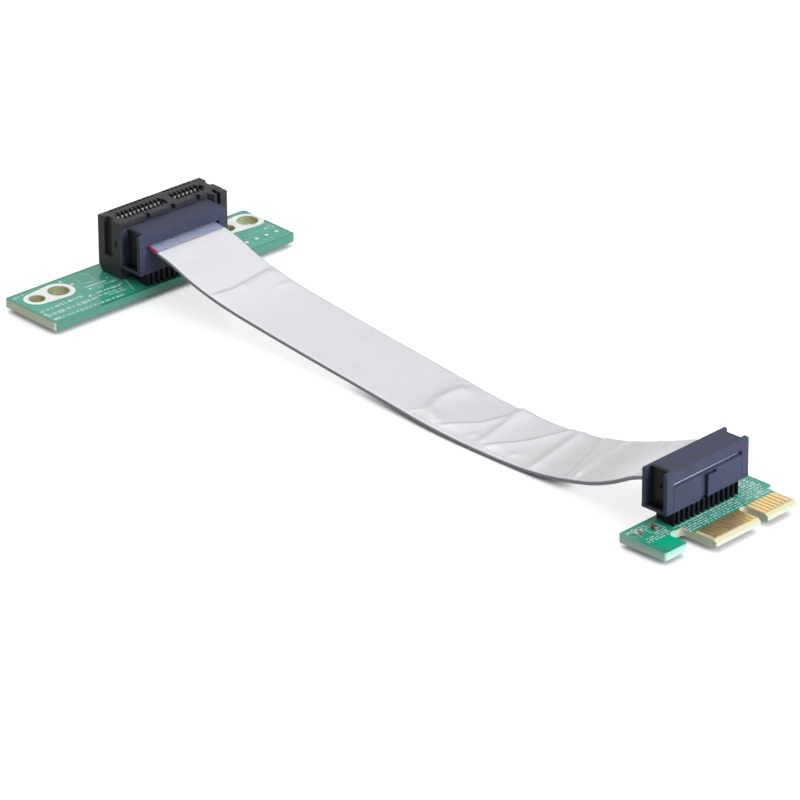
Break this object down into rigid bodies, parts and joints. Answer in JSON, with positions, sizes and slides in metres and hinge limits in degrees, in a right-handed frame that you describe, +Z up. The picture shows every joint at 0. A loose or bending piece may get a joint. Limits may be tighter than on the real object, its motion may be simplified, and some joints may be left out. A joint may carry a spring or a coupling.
{
  "type": "pcie riser card",
  "caption": "Flexible riser for an expansion card: a socket board with a card slot, a foil-shielded flat ribbon and an edge board that plugs into a motherboard slot.",
  "frame": {"origin": "midway between the two large mounting holes of the socket board, on its underside", "axes": "+X along the socket board, +Y towards its back edge, with the ribbon running towards -Y, +Z up out of the card slot"},
  "size_m": [0.0593, 0.1606, 0.0141],
  "materials": {
    "circuit_board": "green solder mask over glass fibre board, with traces showing through",
    "tinned_copper": "bright tin",
    "solder": "bright solder",
    "gold_plate": "thin gold plate",
    "black_moulding": "black moulded plastic with a fine satin texture",
    "chip_ceramic": "matt brown ceramic",
    "ribbon_grey": "soft grey ribbon insulation",
    "ribbon_red": "dark red ribbon insulation",
    "foil": "satin shielding foil with shallow creases"
  },
  "bodies": {
    "root": {"socket_board": "circuit_board", "mounting_rings": "tinned_copper", "test_pads": "tinned_copper", "slot_housing": "black_moulding", "slot_contacts_front": "gold_plate", "slot_contacts_back": "gold_plate", "slot_solder_joints": "solder", "left_connector_base": "black_moulding", "left_connector_cover": "black_moulding", "left_connector_contacts": "tinned_copper", "left_connector_solder": "solder", "edge_board": "circuit_board", "gold_fingers_top": "gold_plate", "gold_fingers_bottom": "gold_plate", "right_connector_base": "black_moulding", "right_connector_cover": "black_moulding", "right_connector_contacts": "tinned_copper", "right_connector_solder": "solder", "chip_body": "chip_ceramic", "chip_ends": "tinned_copper", "ribbon": "ribbon_grey", "red_conductor": "ribbon_red", "foil_sleeve": "foil"}
  },
  "joints": []
}
